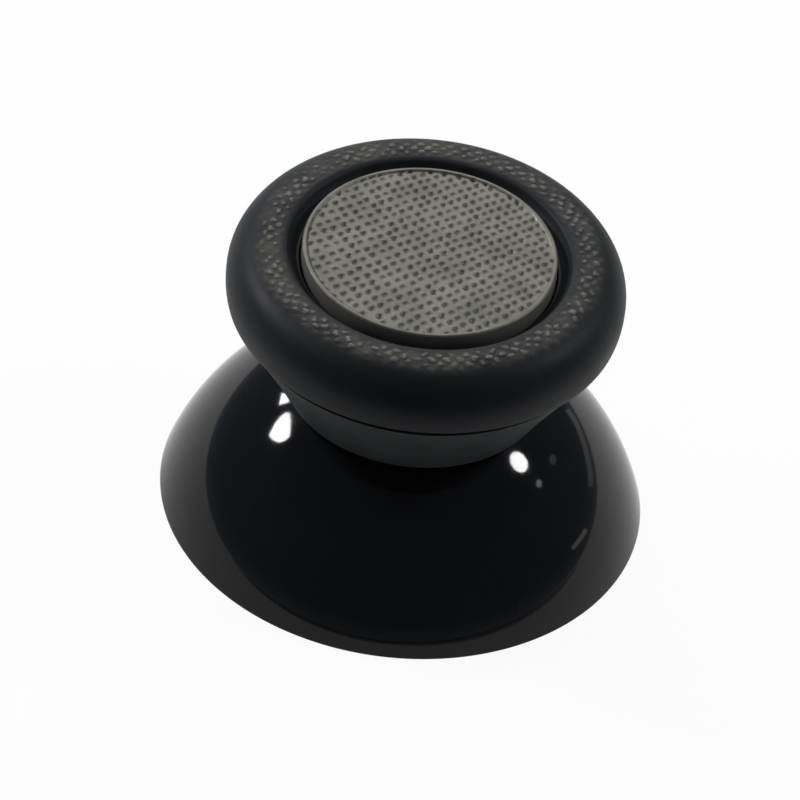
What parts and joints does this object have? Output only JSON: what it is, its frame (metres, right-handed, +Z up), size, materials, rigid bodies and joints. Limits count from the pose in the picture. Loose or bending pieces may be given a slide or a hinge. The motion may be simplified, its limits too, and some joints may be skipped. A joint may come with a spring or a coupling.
{
  "type": "controller thumb grip",
  "caption": "Round thumb grip for an analogue stick: knurled rim with a pitted centre disc, on a flared neck above a glossy domed skirt with a keyed socket beneath.",
  "frame": {"origin": "on the stick's axis, in the plane of the skirt's rim", "axes": "+Z up the stick's axis, from the socket to the pad that the thumb rests on"},
  "size_m": [0.0212, 0.0212, 0.0141],
  "materials": {
    "skirt_gloss": "polished black moulding",
    "cup_satin": "satin, fine moulded grain",
    "ring_satin": "soft-touch satin with a diamond-cut crown",
    "pad_grey": "grey satin, pressed with small square pits"
  },
  "bodies": {
    "root": {"dome_skirt": "skirt_gloss", "head_cup": "cup_satin", "grip_ring": "ring_satin", "centre_pad": "pad_grey"}
  },
  "joints": []
}
